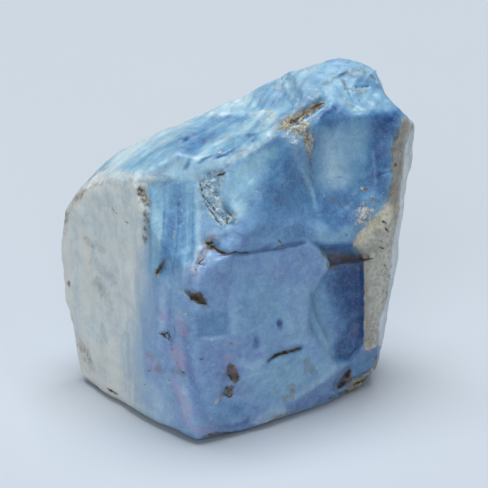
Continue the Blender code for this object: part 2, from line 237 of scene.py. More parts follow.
# Lines that change the blue: places, half width, softness, and change of tone
BLUE_LINES = {
    "stripes": [
        ([(174, 182), (173, 200), (170, 230), (166, 258), (161, 280)], 4, 4, 0.17),
        ([(184, 184), (183, 210), (180, 240), (174, 272)], 7, 4, 0.09),
        ([(155, 180), (156, 220), (156, 272)], 4.5, 4, -0.16),
        ([(161, 182), (161, 220), (160, 262)], 0.8, 1.4, -0.1),
        ([(149.5, 182), (150, 230), (151, 280)], 1, 1.6, 0.14),
        ([(197, 184), (198.5, 232), (197, 262)], 2, 2.4, -0.22),
        ([(165, 182), (164, 220), (160, 262)], 0.7, 1.2, 0.16),
        ([(180, 186), (178, 236), (172, 276)], 0.7, 1.2, 0.16),
        ([(188, 186), (187, 246), (182, 285)], 0.9, 1.4, -0.14),
        ([(193, 188), (193, 250), (188, 285)], 0.7, 1.2, 0.14),
        ([(164, 278), (162, 320), (160, 352)], 2.4, 3, -0.14), ([(172, 282), (170, 325)], 0.8, 2, 0.1),
    ],
    "lower_face": [
        ([(233, 292), (233, 345)], 3.5, 4, -0.12),
        ([(200, 338), (212, 338.5), (228, 336)], 0.9, 1.8, -0.26),
        ([(188, 312), (185, 340), (189, 370), (198, 402), (209, 426)], 2, 5, 0.13),
        ([(180, 380), (186, 405), (194, 430)], 3, 5, -0.16),
        ([(244, 353), (262, 350), (268, 358), (250, 366), (240, 360)], 1.5, 4, -0.1),
        # Painted highlight: a lighter line along the plate's lower edge
        ([(262, 412), (283, 402.7), (302.5, 393.6), (322, 379.3), (335, 367.6),
         (346.7, 361)], 1.8, 3.5, -0.18),
        ([(309, 243), (319, 251), (327, 258), (328, 264), (322, 275), (311, 291)], 1.4, 3, -0.12),
        ([(217, 424), (231, 427), (246, 421), (251, 416)], 0.8, 1.8, 0.16),
        ([(280, 321), (280, 328)], 2.2, 2.4, 0.62), ([(256, 334), (257, 342), (252, 350)], 1.6, 3, 0.26),
        ([(257, 406), (257, 409)], 1.6, 3, 0.2), ([(230, 406), (243, 415)], 3.5, 5, 0.1),
        ([(226, 312), (226, 318)], 0.8, 2, 0.12),
    ],
    "top": [
        ([(112, 184), (128, 177), (150, 173)], 4, 6, -0.18),
        ([(192, 118), (208, 116), (226, 114), (262, 112), (280, 110)], 1.2, 2.6, -0.2),
        # Painted light: lightens the crease to take out its shade
        ([(283, 75), (291, 88), (297, 103)], 2, 3, -0.16),
        ([(204, 121), (228, 119), (256, 118)], 2, 4, 0.2), (CRUSHED_RIDGE[2:], 1.8, 3, -0.26),
        ([(196, 166), (212, 158), (228, 150), (248, 140), (262, 134)], 2.4, 4, 0.2),
        ([(186, 169), (190, 161)], 0.9, 1.8, 0.36), ([(200, 163), (212, 156)], 0.9, 1.8, 0.4),
        ([(219, 158), (228, 154), (237, 149)], 0.9, 1.8, 0.4), ([(184, 141), (188, 136)], 1, 1.8, 0.3),
        ([(120, 176), (150, 155), (180, 138)], 1, 2.5, 0.16),
        ([(160, 172), (190, 150), (225, 128)], 1.2, 3, 0.18),
        ([(190, 172), (215, 150), (250, 130)], 1.2, 3, 0.16),
        ([(150, 150), (175, 138), (200, 126)], 1.4, 3, -0.12), ([(245, 136), (258, 133)], 0.9, 1.6, 0.35),
        ([(251, 142), (256, 139)], 0.9, 1.4, 0.35),
    ],
    "knob": [
        ([(336, 79), (341, 75), (346, 73)], 0.9, 1.4, 0.5), ([(369, 75), (374, 80)], 0.9, 1.4, 0.4),
        ([(352, 79), (366, 81), (377, 89)], 3, 4, 0.22),
        ([(350, 112), (357, 106), (365, 110)], 0.9, 1.4, -0.25),
        ([(313, 121), (325, 113), (337, 106)], 1.5, 3, 0.2),
    ],
    "upper_faces": [
        ([(293, 150), (304, 174), (313, 195), (317, 214)], 1.2, 2.4, -0.18),
        ([(251, 181), (252, 182)], 2.6, 2.4, -0.22),
        ([(399, 126), (393, 146), (389, 164), (386, 182)], 1.2, 2, -0.1),
        ([(373, 150), (374, 170), (374, 192)], 0.7, 1.5, -0.22),
        ([(379, 171), (389, 168)], 0.7, 1.4, -0.2), ([(378, 177), (388, 172)], 0.7, 1.4, -0.16),
        # Painted shadow: short dark dashes
        ([(337, 178), (344, 178)], 0.7, 1.2, 0.2),
    ],
    "recess": [
        ([(361, 268), (361, 300), (361, 340)], 1.2, 2.4, 0.12),
    ],
}

# Marks: places along each one, half its width in pixels, and its strength where it is broken or faint
MARKS = {
    "dark": [
        ([(187, 291), (191, 293)], 1), ([(190, 296), (191, 300)], 1.4), ([(200, 303), (206, 304)], 1.6),
        ([(199, 292), (204, 298)], 1.5), ([(269, 360.5), (274, 355.5), (280, 353)], 1.1),
        ([(279, 354.5), (288, 353), (295, 350)], 0.9), ([(281, 351.5), (291, 350), (302, 347)], 0.9),
        ([(211, 246), (218, 250.5), (224, 253.5)], 1.2),
        ([(219, 256.5), (226, 255), (234, 253), (252, 252)], 1.2),
        ([(252, 252), (266, 250), (276, 248), (287, 244), (304, 242.5)], 0.8, 0.15),
        ([(207, 244), (214, 243)], 1.5), ([(210, 249), (215, 245)], 1.3),
        ([(205, 258), (199, 263), (204, 266)], 0.8), ([(202, 262), (196, 270), (195, 276)], 0.7),
        ([(228, 375), (231, 379)], 1.5), ([(236, 378), (239, 374)], 1.3), ([(233, 365), (234, 367)], 0.9),
        ([(224, 393), (226, 388), (231, 386)], 1), ([(225, 395), (229, 397), (232, 393)], 0.9),
        ([(160, 333.5), (165, 335), (170, 331)], 1), ([(170, 331), (170.5, 341)], 1),
        ([(171, 344), (172, 350)], 0.7), ([(140, 190), (144, 201)], 4.6, 0.2),
        ([(143, 194), (144, 198)], 1.2), ([(138, 186), (144, 190)], 2.6, 0.1),
        ([(147, 204), (147, 222)], 2.4, 0.15), ([(145, 226), (146, 244)], 2.4, 0.15),
        ([(112, 208), (117, 214)], 0.9), ([(125, 222), (129, 223.5)], 0.9),
        ([(163, 263), (160, 268), (157, 273)], 0.9), ([(155, 268), (159, 270)], 0.8),
        ([(311, 109), (322, 103.5)], 1.8), ([(296, 119), (303, 115)], 1.1),
        ([(329, 261), (331, 266)], 1.8, 0.3), ([(334, 258), (352, 256)], 1.1, 0.2),
        ([(358, 259.5), (373, 258.5)], 1), ([(380, 221), (382, 224)], 1.2),
        ([(382, 228), (384, 232)], 1.1), ([(376, 246), (380, 249)], 1),
        ([(379, 262), (381, 272)], 1, 0.2), ([(380, 286), (379, 293)], 0.9, 0.2),
        ([(349, 370), (348, 377)], 3.6, 0.6), ([(339, 387), (346, 382)], 3, 0.6),
        # Painted contact shadow: among the next four lines, the dark lines that follow the bottom outline
        # and the foot block's underside
        ([(330, 398), (344, 392), (358, 393), (366, 390)], 2.4, 0.3),
        ([(353, 386), (361, 382), (371, 377)], 1.3), ([(351, 392), (360, 393), (370, 388)], 1.6, 0.2),
        ([(204, 437), (216, 434), (230, 435)], 1.8, 0.3),
        ([(232, 436), (246, 431), (262, 427), (290, 419)], 1.5, 0.05), ([(258, 421.5)], 1.1),
        ([(188.8, 224.4)], 0.9), ([(82.5, 194.5)], 1), ([(84, 348), (93, 367)], 1.4, 0.1),
        ([(110, 389), (115, 392)], 1.2), ([(215.3, 353.3)], 0.9), ([(200, 360), (204, 359.5)], 0.8),
        ([(176.6, 363)], 1), ([(166, 369)], 1.1), ([(172, 372.5)], 1.2), ([(181, 372), (184, 374)], 1.2),
        ([(169, 381)], 1.1), ([(230, 344.5), (233, 344)], 1.1, 0.4), ([(164, 335), (168.5, 338.5)], 1.9),
        ([(170, 333), (169, 339)], 1.6), ([(192, 297), (202, 300)], 3.4, 0.2), ([(150, 371)], 1.2),
        ([(144, 384)], 0.8), ([(131, 375.6)], 0.7), ([(137, 375.6)], 0.7), ([(162.5, 407)], 0.8),
        ([(171, 414.5)], 0.8), ([(124.5, 355.5)], 0.7), ([(200, 184), (203, 191)], 1.1),
        ([(199, 181), (201, 190), (204, 199)], 1.6, 0.2), ([(204, 196), (209, 203), (216, 210)], 1.1),
        ([(213, 192), (218, 197)], 0.9), ([(206, 205), (214, 215), (219, 223)], 1),
        ([(212, 208), (222, 217)], 0.9), ([(224, 208), (232, 216)], 1.4, 0.3),
        ([(228, 217), (226, 224)], 1.2, 0.5), ([(206, 184), (212, 189)], 1, 0.4),
        ([(215, 220), (222, 226)], 1), ([(222, 213), (228, 224)], 0.8), ([(217, 176), (225, 172.5)], 1.4),
        ([(352, 85), (360, 88), (370, 86)], 1.2, 0.15), ([(359, 100)], 0.8),
        ([(366, 74), (374, 78), (380, 86)], 1.2, 0.1), ([(401, 152)], 0.9),
        ([(391, 163), (393, 166)], 1.1), ([(346.5, 235)], 1.1), ([(247, 232.5)], 1), ([(312, 349)], 0.8),
    ],
    "stain_and_shade": [
        ([(212, 246), (219, 251), (226, 254)], 2), ([(224, 394), (231, 388)], 4.8, 0.55),
        ([(269, 360.5), (275, 355), (285, 352), (294, 350), (302, 347.5)], 2),
        ([(64, 222), (66, 213)], 2.4, 0.05), ([(77, 198), (84, 191)], 2.8, 0.05),
        ([(88, 181), (96, 174)], 2, 0.05), ([(101, 171), (110, 164)], 1.8, 0.05),
        ([(90, 188), (99, 183)], 1.6, 0.05), ([(179, 203), (181, 214), (180, 226)], 1.2, -0.15),
        ([(164, 261), (160, 266), (157, 274)], 2.2), ([(308, 158), (311, 170), (312, 183)], 1.6, -0.05),
        ([(316, 109), (319, 111)], 1.4), ([(278, 240), (281, 243)], 2.4),
        ([(343, 78), (345, 87), (349, 95)], 1.4, 0.2), ([(376, 356), (375, 374)], 2, 0.3),
        # Painted shade: the foot block is darkened where it lies in shadow, with a little brown
        ([(352, 391), (370, 385)], 5, -0.05),
        # Brown crust along the bottom outline, partly painted contact shadow (this line and the first
        # mark of the next)
        ([(202, 438), (216, 434), (232, 436), (246, 431)], 2.4, 0.35),
        ([(246, 431), (268, 425), (294, 417)], 2, 0.15), ([(296, 119), (304, 115), (323, 103)], 3.6, 0.5),
        ([(140, 188), (144, 197), (147, 206)], 5.5, -0.05), ([(146, 212), (146, 240)], 3.4, 0.05),
        ([(108, 388), (117, 394)], 1.8), ([(70, 281), (72, 286)], 1.5),
        ([(400, 124), (395, 140), (390.5, 156), (388, 176), (386, 196)], 2.8, 0.2),
        ([(365, 264), (365, 300), (365, 342)], 1.8, 0),
    ],
    "gold": [
        ([(192, 297), (200, 299)], 2.6), ([(233, 377), (236, 380)], 1.8),
        ([(278, 355), (286, 353), (296, 350)], 1.2), ([(283, 128), (294, 123), (312, 112)], 5, 0.5),
        ([(302, 122), (309, 128), (312, 135), (310, 148), (309, 160)], 3.2, 0.05),
        ([(226, 141), (234, 139)], 2.2, -0.1), ([(240, 130), (255, 128)], 3, -0.15),
        ([(267, 110), (272, 118), (276, 124)], 3.6, -0.05), ([(360, 189), (368, 190)], 1.8),
        ([(370, 197), (377, 201)], 1.9), ([(291, 384), (293, 396)], 2.6, -0.1),
        ([(283, 396), (288, 400)], 2.4, -0.1), ([(273, 419), (299, 412)], 3.4, -0.15),
        ([(308, 364), (310, 370)], 2.6, -0.25), ([(342, 96), (349, 104)], 2.6, 0),
        ([(350, 73), (358, 70), (368, 73)], 1.8, 0), ([(376, 360), (373, 374)], 2.4),
        ([(78, 340), (85, 354), (93, 367)], 3.6, -0.05), ([(65, 222), (68, 212)], 4, 0.2),
        ([(75, 200), (84, 190)], 4, 0.2), ([(227, 391), (229, 392)], 2.2),
        ([(139, 186), (147, 207)], 5, 0.1), ([(145, 210), (146, 242)], 4, 0.05),
        ([(350, 89), (360, 92), (368, 90)], 1.8, 0.1), ([(160, 269), (157, 275)], 2.2),
        ([(204, 242), (213, 249)], 3),
    ],
    "frost_and_highlight": [
        ([(97, 183), (118, 178), (150, 177), (176, 181)], 5.5, 0.05),
        ([(188, 117), (220, 113), (260, 111.5), (283, 110)], 2.2, -0.38),
        ([(224, 168), (236, 158), (248, 151), (262, 143), (281, 130)], 3.2, -0.05),
        ([(266, 111), (276, 122)], 4, 0), ([(295, 109.5), (310, 97.5), (322, 93)], 3.4, 0.1),
        ([(306, 97), (320, 88), (337, 77)], 2.4, -0.1), ([(164, 166), (168, 165)], 1.2),
        ([(206, 144), (210, 142)], 1.2), ([(217, 154), (221, 152)], 1.3), ([(298, 266), (299, 269)], 1.8),
        ([(293, 288), (295, 290)], 2), ([(324, 197)], 1.4), ([(328, 183)], 1.4), ([(352, 195)], 1.4),
        ([(343.5, 216.5)], 1.5), ([(358, 225)], 1.4), ([(183, 314), (189, 314)], 1.8),
        ([(174, 231), (175, 239)], 1.4), ([(216, 403), (222, 396)], 3),
        ([(161, 331), (165, 332), (169, 329)], 1.8),
        # Painted highlight: a pale line along the left edge of the grey-white skin
        ([(398, 243), (396, 254), (398, 262), (394, 281), (391, 295), (387, 311), (383, 328),
         (381, 336)], 1),
        ([(387, 168), (393, 163)], 1.5), ([(288, 134), (298, 144)], 4),
        ([(294, 150), (305, 176), (314, 197)], 3, -0.12), ([(200, 178), (206, 200), (212, 216)], 2.6, 0),
        ([(212, 226), (230, 222)], 3, 0), ([(205, 250), (197, 266), (191, 282)], 3, -0.1),
        ([(342, 98), (348, 106), (356, 111), (370, 111)], 2, 0),
        ([(228, 108), (250, 97), (270, 88)], 3, -0.25), ([(340, 82), (350, 76), (364, 80)], 2.4, 0),
        ([(212, 428), (240, 424), (262, 416)], 3, -0.25), ([(150, 420), (176, 434), (196, 440)], 3, -0.2),
        ([(352, 388), (368, 384)], 3),
    ],
}

# Soft smudges: places along each one, half its width in pixels, and its strength from -1 to 1
SMUDGES = {
    "pink": [
        ([(179, 318), (184, 334)], 4, 0.05), ([(175, 350), (182, 366)], 5.5, 0.3),
        ([(172, 380), (180, 395), (187, 410)], 5, 0.05), ([(183, 412), (189, 427)], 4.4, 0.05),
        ([(196, 431), (210, 432)], 4, 0.2), ([(148, 357), (157, 368)], 5, 0),
        ([(124, 280), (126, 298)], 4, -0.1), ([(119, 294), (119.5, 310)], 3, 0),
        ([(163, 314), (166, 318)], 3.4, 0.15), ([(228, 345), (236, 344.5)], 3.4, -0.1),
        ([(117, 324), (119, 350)], 4, -0.1), ([(364, 349), (370, 350)], 2.4, 0.5),
        ([(355, 326), (357, 332)], 2.4, -0.2), ([(212, 240), (202, 256), (192, 272)], 6, 0),
        ([(230, 360), (233, 370)], 5, 0.1), ([(131, 248), (136, 278)], 6, -0.25),
    ],
    "faint_and_shade": [
        ([(86, 239), (93, 247)], 3.6, 0.35), ([(97, 245), (104, 252)], 3.4, 0.25),
        ([(97, 280), (102, 293)], 4.6, 0.45), ([(109, 274), (114, 283)], 3.4, 0.2),
        ([(94, 260), (106, 274)], 5, 0.05), ([(104, 292), (113, 310)], 5, 0.1),
        ([(88, 196), (112, 206), (130, 222)], 6, -0.25), ([(106, 214), (120, 240), (124, 262)], 6, -0.3),
        ([(284, 198), (287, 201)], 4, -0.05), ([(148, 354), (158, 360)], 3, 0.1),
        ([(157, 368), (163, 372)], 3.4, 0.5), ([(172, 371), (184, 374)], 3.6, 0.5),
        ([(222, 372), (238, 386)], 7, 0), ([(220, 398), (232, 386)], 6, 0),
        ([(184, 290), (208, 305)], 6.5, 0), ([(348, 72), (360, 74), (374, 78)], 5, 0.15),
        ([(326, 84), (338, 76)], 5, 0.1), ([(308, 362), (311, 371)], 4.6, 0.6),
        # Painted shade: the foot block darkened where it lies in shadow
        ([(354, 386), (364, 381), (374, 374)], 6, 0.9), ([(352, 392), (362, 391)], 5, 0.9),
        ([(291, 385), (292, 396), (286, 399)], 3.4, 0.6), ([(140, 190), (144, 200), (146, 212)], 6, 0.3),
        ([(228, 343), (236, 346)], 3, 0.1), ([(276, 418), (300, 412)], 3.4, 0.4),
        # Painted contact shadow: grey along the bottom outline, on this line and the next
        ([(204, 438), (234, 436)], 3.4, 0.7), ([(246, 432), (300, 417), (344, 395)], 3.4, 0.5),
        ([(84, 382), (110, 398), (150, 421), (192, 442)], 2.4, 0.5),
        ([(326, 254), (344, 262), (366, 262)], 7, 0.4), ([(203, 240), (216, 250)], 6, 0.4),
        ([(212, 240), (202, 257), (194, 272)], 6, 0.2), ([(330, 200), (350, 208)], 4, 0.1),
        ([(306, 140), (312, 184)], 4, 0.1), ([(282, 124), (322, 103)], 6, 0.8),
        ([(404, 122), (399, 140), (394, 158), (391, 178), (388, 198)], 5.5, 0.7),
        ([(356, 250), (366, 253), (374, 248)], 4.5, 0.7),
        ([(384, 196), (390, 206), (389, 216)], 3.5, 0.7),
        ([(367, 264), (367, 300), (367, 342)], 3.4, 0.3), ([(76, 338), (84, 356), (96, 372)], 6, -0.2),
        ([(62, 232), (66, 212), (80, 194)], 5, 0.2),
    ],
    "warm": [
        ([(60, 232), (64, 212), (80, 192), (94, 180)], 8, 1),
        ([(72, 340), (84, 372), (110, 396)], 9, 0.9), ([(64, 230), (66, 260), (70, 310)], 6, 1),
        ([(104, 392), (130, 407)], 7, 0.6), ([(84, 232), (90, 300)], 6, 0.5),
        ([(100, 350), (126, 390)], 9, 0.4),
    ],
}

# Marks scattered over the unseen sides: waves for each mm, seed, strength and base
SCATTERED = {
    "dark": ((0.9, 0.9, 0.7), 81, 2.2, -1.45),
    "stain_and_shade": (0.45, 85, 2.4, -1.5),
    "gold": (0.5, 89, 2.2, -1.3),
    "pink": ((0.4, 0.4, 0.25), 93, 2.2, -1.2),
    "frost_and_highlight": (0.35, 97, 2, -0.9),
    "faint_and_shade": (0.3, 99, 2, -1),
    "warm": (0.15, 100, 2, -0.6),
}

# Carved lines that are deeper than the marks alone: places, half width in pixels, depth in mm
CUTS = [
    ([(187, 291), (194, 296), (204, 301)], 4.2, 0.55),
    ([(269, 361), (275, 355), (285, 352), (294, 350), (302, 347)], 2.4, 0.4),
    ([(211, 245), (219, 252), (236, 253), (252, 252), (276, 248), (304, 242.5)], 2.6, 0.34),
    ([(208, 244), (214, 246)], 3.4, 0.35), ([(203, 252), (197, 263), (204, 265)], 2, 0.22),
    ([(229, 374), (237, 377)], 4.4, 0.3), ([(225, 394), (231, 388)], 3.8, 0.25),
    ([(162, 334), (170, 331), (170, 340)], 2.6, 0.36), ([(142, 189), (144, 199)], 2.8, 0.3),
    ([(163, 262), (158, 272)], 2.4, 0.3), ([(348, 370), (347, 378), (340, 383)], 4.5, 0.3),
    ([(353, 384), (361, 380), (369, 375)], 2.4, 0.3), ([(328, 399), (344, 392), (358, 392.5)], 4.5, 0.55),
    ([(293, 150), (304, 174), (313, 195)], 1.6, 0.05), ([(280, 324), (280, 325)], 3, 0.07),
    ([(343, 79), (346, 87), (349, 95)], 2, 0.16), ([(356, 87), (368, 87)], 2, 0.2),
    ([(334, 80), (341, 75), (347, 73)], 2, 0.16), ([(342, 98), (348, 105), (357, 110)], 2, 0.14),
    ([(184, 170), (191, 160)], 2, 0.16), ([(198, 164), (213, 155)], 2, 0.16),
    ([(217, 159), (238, 148)], 2, 0.18), ([(182, 142), (189, 135)], 2.2, 0.16),
    ([(217, 424), (231, 427), (246, 421), (251, 416)], 2, 0.12), ([(92, 362), (104, 372)], 3, 0.12),
    ([(179, 203), (180, 226)], 1.6, 0.1),
]

# Dished or stepped faces: outline, pixels from its edge to full depth, and depth in mm
DISHES = {
    "upper_left": (UPPER_LEFT, 22, 0.3),
    "upper_right": (UPPER_RIGHT, 24, 0.4),
    "strip": (STRIP, 5, 0.1),
    "groove": ([(311, 242), (352, 244), (364, 256), (362, 266), (330, 266), (320, 250)], 4, 0.3),
    "recess": (RECESS, 5, 0.45),
    "recess_low": (RECESS_LOW, 3, 0.18),
    "plate_shelf": (PLATE_SHELF, 3, 0.05),
    "plate_upper": ([(214, 258), (264, 252), (304, 243), (317, 252), (325, 262), (306, 292), (250, 296),
        (214, 300)], 18, 0.1),
    "chamfer": ([(217, 426), (251, 420), (283, 405), (302, 396), (322, 382), (336, 370), (347, 363),
        (352, 378), (326, 408), (300, 426), (274, 434), (246, 442), (206, 448)], 5, 0.16),
    "low_chip": ([(217, 424), (231, 427), (246, 421), (251, 416), (264, 418), (252, 432),
        (222, 438)], 3, 0.12),
    "crushed": (CRUSHED, 6, 0.22),
    "speckled": (SPECKLED, 5, 0.15),
    "heel": ([(337, 369), (352, 366), (353, 381), (340, 388)], 4, 0.3),
    "rind_chip": ([(76, 340), (88, 342), (98, 372), (90, 384), (76, 366)], 6, 0.22),
    "shoulder_chip": ([(60, 206), (76, 194), (84, 204), (72, 222), (60, 224)], 6, 0.14),
}

# The rind's border fades downwards: rows of the picture, and pixels over which it fades
FADE_ROWS = [180, 230, 270, 330, 400]
FADE_PIXELS = [6, 12, 22, 34, 44]

# Bands of the blue under the rind on the unseen sides: depth in mm, and tone
BAND_DEPTHS = [1.0, 1.5, 2.4, 3.1, 4.0, 6.0]
BAND_TONES = [0.2, 0.3, 0.68, 0.45, 0.62, 0.5]

# Share by which sharp creases of the solid are filled
FILLED_SHARE = 0.85

# The foot draws in towards the floor: share of its width, and height in mm
FOOT_NARROWING = 0.056
FOOT_HEIGHT = 1.6

# Both outlines bulge a little more than the solid: rows of the picture, and mm outwards
LEFT_ROWS = [268, 284, 300, 312, 326]
LEFT_PUSH = [0.0, 0.2, 0.3, 0.12, 0.0]
OUTLINE_ROWS = [150, 172, 205, 240, 262, 276, 290, 300, 316, 333, 356]
OUTLINE_PUSH = [0.0, 0.42, 0.46, 0.5, 0.78, 0.76, 0.68, 0.6, 0.24, -0.06, 0.0]

# Shell-shaped scars of the unseen broken faces: how many, reach in mm, and depth for each mm of reach
SCARS = 90
SCAR_REACH = (2.2, 7.5)
SCAR_SLOPE = 0.30


# Numbers for every vertex at once

def mesh_arrays(mesh):
    """Places in metres and normals of all vertices."""
    count = len(mesh.vertices)
    places = np.empty(count * 3)
    normals = np.empty(count * 3)
    mesh.vertices.foreach_get("co", places)
    mesh.vertex_normals.foreach_get("vector", normals)
    return places.reshape(-1, 3), normals.reshape(-1, 3)


def smoothstep(low, high, value):
    share = np.clip((value - low) / (high - low), 0.0, 1.0)
    return share * share * (3.0 - 2.0 * share)


def blend(first, second, share):
    return first + (second - first) * share


def lattice(i, j, k, seed):
    """A random number from 0 to 1 for each whole-numbered place."""
    mixed = i * 73856093 ^ j * 19349663 ^ k * 83492791 ^ seed * 26544357
    mixed = (mixed ^ (mixed >> 13)) * 1274126177 & 0xFFFFFFFF
    mixed = (mixed ^ (mixed >> 16)) * 374761393 & 0xFFFFFFFF
    return (mixed >> 8 & 0xFFFF) / 65535.0


def noise(places, waves, seed):
    """Smooth noise from -1 to 1, with this many waves for each unit along X, Y and Z."""
    spot = places * np.asarray(waves)
    cell = np.floor(spot).astype(np.int64)
    part = spot - cell
    part = part * part * (3.0 - 2.0 * part)
    total = np.zeros(len(places))
    for di in (0, 1):
        for dj in (0, 1):
            for dk in (0, 1):
                share = np.where((di, dj, dk), part, 1.0 - part).prod(axis=1)
                corner = lattice(cell[:, 0] + di, cell[:, 1] + dj, cell[:, 2] + dk, seed)
                total += share * corner
    return total * 2.0 - 1.0


def rich_noise(places, waves, seed, octaves=3):
    """Noise with finer and weaker noise on it."""
    total = np.zeros(len(places))
    strength = 1.0
    for octave in range(octaves):
        total += strength * noise(places, np.asarray(waves) * 2.03 ** octave, seed + octave)
        strength *= 0.5
    return total / 1.75


def ridges(places, waves, seed):
    """Noise with sharp crests, from 0 to 1."""
    return 1.0 - np.abs(noise(places, waves, seed))


# Places in the photograph's frame

def picture(places):
    """Column and row at which the camera sees each place."""
    sight = places - np.array(EYE)
    away = sight @ np.array(AHEAD)
    columns = FRAME_PIXELS / 2 + FOCAL_PIXELS * sight[:, 0] / away
    rows = FRAME_PIXELS / 2 - FOCAL_PIXELS * (sight @ np.array(UP)) / away
    return np.stack([columns, rows], axis=1)


def sight_lines(places):
    """The way from the camera to each place."""
    sight = places - np.array(EYE)
    return sight / np.linalg.norm(sight, axis=1)[:, None]


def distance_to_line(pixels, line):
    """Pixels from each place to a line through its points, and the share of it passed there."""
    best = np.full(len(pixels), np.inf)
    passed = np.zeros(len(pixels))
    segments = list(zip(line, line[1:] or line))
    for number, (start, end) in enumerate(segments):
        start, along = np.array(start, float), np.subtract(end, start)
        share = np.clip((pixels - start) @ along / max(along @ along, 1e-9), 0.0, 1.0)
        away = np.linalg.norm(pixels - start - share[:, None] * along, axis=1)
        passed = np.where(away < best, (number + share) / len(segments), passed)
        best = np.minimum(best, away)
    return best, passed


def near_line(pixels, line, reach):
    """Which places lie in the box around a line, how far from it they are, and where along it."""
    low = np.min(line, axis=0) - reach
    high = np.max(line, axis=0) + reach
    near = np.flatnonzero(((pixels > low) & (pixels < high)).all(axis=1))
    away, passed = distance_to_line(pixels[near], line)
    return near, away, passed


def depth_in_patch(pixels, outline):
    """Pixels from each place to a closed outline, above zero inside it."""
    inside = np.zeros(len(pixels), bool)
    closed = [*outline, outline[0]]
    for (x0, y0), (x1, y1) in zip(closed, closed[1:]):
        if y0 == y1:
            continue
        crosses = (pixels[:, 1] < y0) != (pixels[:, 1] < y1)
        inside ^= crosses & (pixels[:, 0] < x0 + (pixels[:, 1] - y0) / (y1 - y0) * (x1 - x0))
    away = distance_to_line(pixels, closed)[0]
    return np.where(inside, away, -away)


def patch(pixels, outline, softness):
    """1 inside a closed outline, 0 outside it, and a soft edge of this many pixels."""
    return smoothstep(-softness, softness, depth_in_patch(pixels, outline))


def smudge(pixels, ragged, lines):
    """From -1 outside these lines, rising softly to each line's strength on it."""
    best = np.full(len(pixels), -1.0)
    for line, half_width, strength in lines:
        near, away, _ = near_line(pixels, line, 2.4 * half_width)
        close = smoothstep(2.2, 0.1, away / (half_width * (1.0 + 0.5 * ragged[near])))
        best[near] = np.maximum(best[near], -1.0 + (1.0 + strength) * close)
    return best


def mark(pixels, ragged, lines):
    """1 on the nearest of these lines, 0 at its edge, and -1 at twice its half width or further."""
    best = np.full(len(pixels), -1.0)
    for line, half_width, *strength in lines:
        near, away, passed = near_line(pixels, line, 2 * half_width)
        taper = 1.0 if len(line) == 1 else 0.55 + 0.45 * np.sin(math.pi * passed)
        close = 1.0 - away / (half_width * taper * (1.0 + 0.55 * ragged[near]))
        close = np.minimum(close, *strength or [1.0])
        best[near] = np.maximum(best[near], close)
    return best


# Mesh

def evaluated(obj, name):
    """The object's mesh with its modifiers applied."""
    graph = bpy.context.evaluated_depsgraph_get()
    graph.update()
    mesh = bpy.data.meshes.new_from_object(obj.evaluated_get(graph))
    mesh.name = name
    return mesh


def refined(node):
    """A copy of the CAD solid as a fine mesh with softened facets, coarser where it isn't seen."""
    stone = bpy.data.objects.new("opal_stone", node.data.copy())
    bpy.context.scene.collection.objects.link(stone)
    grain = stone.modifiers.new("grain", "REMESH")
    grain.mode = "VOXEL"
    grain.voxel_size = GRAIN
    soft = stone.modifiers.new("soft", "SMOOTH")
    soft.factor = 0.5
    soft.iterations = ROUNDING_PASSES
    mesh = evaluated(stone, "opal_stone")
    stone.modifiers.clear()
    stone.data = mesh
    mesh.materials.clear()
    places, normals = mesh_arrays(mesh)
    unseen = np.flatnonzero((sight_lines(places) * normals).sum(axis=1) > 0.05)
    stone.vertex_groups.new(name="unseen").add(unseen.tolist(), 1.0, "REPLACE")
    thin = stone.modifiers.new("thin", "DECIMATE")
    thin.ratio = KEPT_SHARE
    thin.vertex_group = "unseen"
    stone.data = evaluated(stone, "opal_stone")
    stone.modifiers.clear()
    stone.vertex_groups.clear()
    return stone


def smoothed(mesh, places, passes):
    """The numbers after each vertex took the mean of its neighbours this many times."""
    pairs = np.empty(len(mesh.edges) * 2, np.int64)
    mesh.edges.foreach_get("vertices", pairs)
    first, second = pairs.reshape(-1, 2).T
    count = len(places)
    neighbours = np.bincount(first, minlength=count) + np.bincount(second, minlength=count)
    for _ in range(passes):
        total = np.empty_like(places)
        for axis in range(places.shape[1]):
            total[:, axis] = np.bincount(first, places[second, axis], count)
            total[:, axis] += np.bincount(second, places[first, axis], count)
        places = total / neighbours[:, None]
    return places


class Surface:
    """Everything that the fields and the relief need to know of each vertex."""

    def __init__(self, mesh):
        self.places, self.normals = mesh_arrays(mesh)
        self.mm = self.places / MM
        self.sight = sight_lines(self.places)
        facing = -(self.sight * self.normals).sum(axis=1)
        self.shown = smoothstep(0.04, 0.16, facing)
        self.pixels = picture(self.places)
        sway = np.stack([rich_noise(self.mm, 0.5, seed) for seed in (11, 21)], axis=1)
        self.swayed = self.pixels + 2.4 * sway
        quiver = np.stack([noise(self.mm, 1.9, seed) for seed in (31, 41)], axis=1)
        self.quivering = self.pixels + 0.9 * quiver + 0.9 * sway
        self.deep = smoothstep(0.45, 0.05, smoothed(mesh, self.shown[:, None], 90)[:, 0])
        self.ragged = noise(self.mm, 2.3, 151)
        rounded = smoothed(mesh, self.places, 14)
        self.bulge = ((self.places - rounded) * self.normals).sum(axis=1) / MM
        self.filled = smoothed(mesh, rounded, 50)
        self.fissures = rich_noise(self.mm, (0.13, 0.13, 0.11), 141, 4)
        along = self.mm[:, 0] * STREAK_WAY[0] + self.mm[:, 1] * STREAK_WAY[1]
        across = self.mm[:, 0] * STREAK_WAY[1] - self.mm[:, 1] * STREAK_WAY[0]
        self.streaked = np.stack([across, along, self.mm[:, 2]], axis=1)
        self.scar_depth, self.scar_share, self.scar_number = shell_scars(self)
        self.under_rind = -((self.places - np.array(RIND_PLACE)) @ np.array(RIND_FACING)) / MM
        self.under_skin = -((self.places - np.array(SKIN_PLACE)) @ np.array(SKIN_FACING)) / MM

    def on_picture(self, seen, unseen):
        """A field that follows the photograph where the camera sees the stone."""
        return blend(unseen, seen, self.shown)


